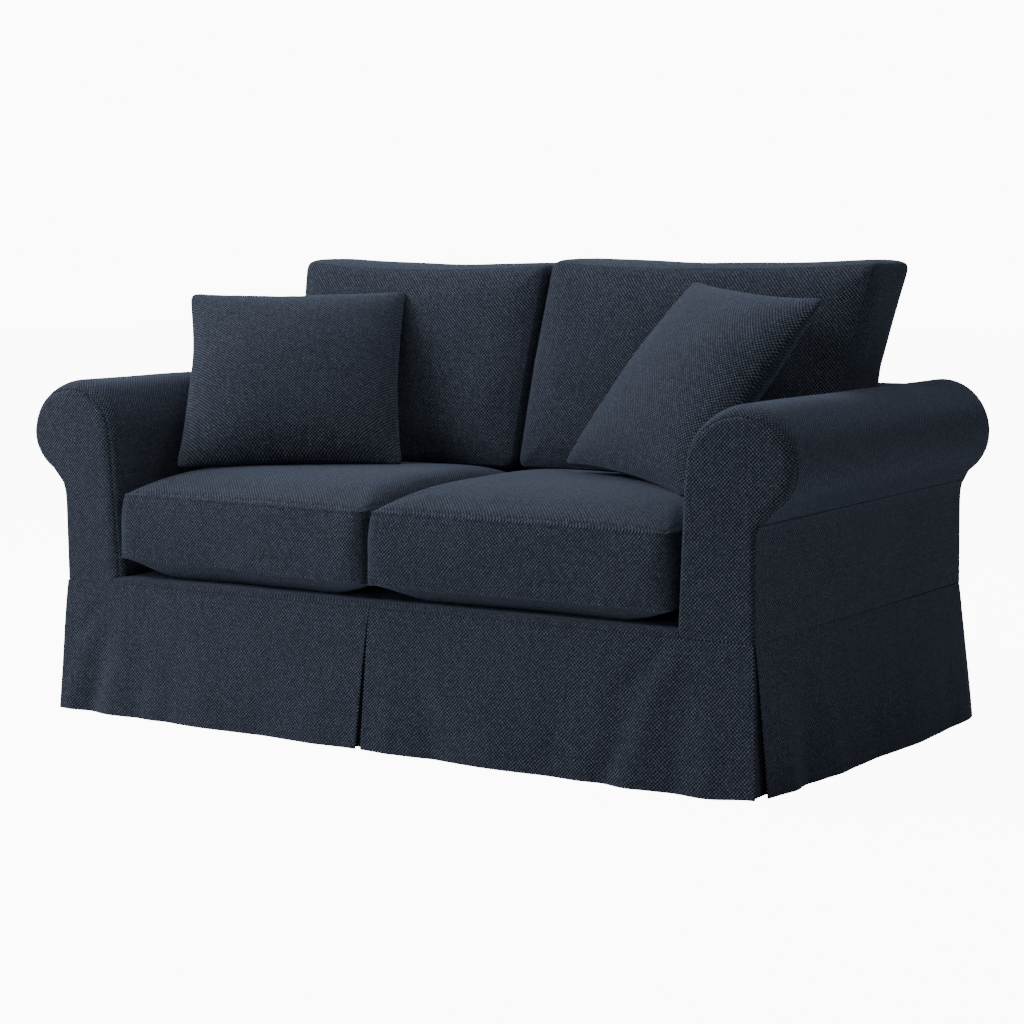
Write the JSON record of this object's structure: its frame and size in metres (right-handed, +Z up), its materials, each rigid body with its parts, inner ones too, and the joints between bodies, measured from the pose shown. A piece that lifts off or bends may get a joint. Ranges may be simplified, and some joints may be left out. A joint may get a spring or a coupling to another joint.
{
  "type": "fitted sofa slipcover with matching cushions",
  "caption": "Fitted cloth slipcover for a two-seat roll-arm sofa, with a loose pleated skirt and matching boxed seat and back cushions and square throw cushions.",
  "frame": {"origin": "on the floor, under the middle of the cover", "axes": "+X along the sofa's width, to the right as seen from the front; +Y to the back of the sofa; +Z up"},
  "size_m": [1.8032, 0.9141, 0.9393],
  "materials": {
    "woven_cloth": "coarse matt basket weave in dark navy, every piece in the same cloth"
  },
  "bodies": {
    "root": {"deck": "woven_cloth", "inside_back": "woven_cloth", "outside_back": "woven_cloth", "arm_left": "woven_cloth", "arm_front_left": "woven_cloth", "outside_arm_left": "woven_cloth", "arm_right": "woven_cloth", "arm_front_right": "woven_cloth", "outside_arm_right": "woven_cloth", "skirt_front_left": "woven_cloth", "skirt_front_right": "woven_cloth", "skirt_side_left": "woven_cloth", "skirt_side_right": "woven_cloth", "skirt_back": "woven_cloth", "underlay_front": "woven_cloth", "underlay_corner_front_left": "woven_cloth", "underlay_corner_front_right": "woven_cloth", "underlay_corner_back_left": "woven_cloth", "underlay_corner_back_right": "woven_cloth", "seat_cushion_left": "woven_cloth", "seat_cushion_right": "woven_cloth", "back_cushion_left": "woven_cloth", "back_cushion_right": "woven_cloth", "throw_cushion_left": "woven_cloth", "throw_cushion_right": "woven_cloth"}
  },
  "joints": []
}
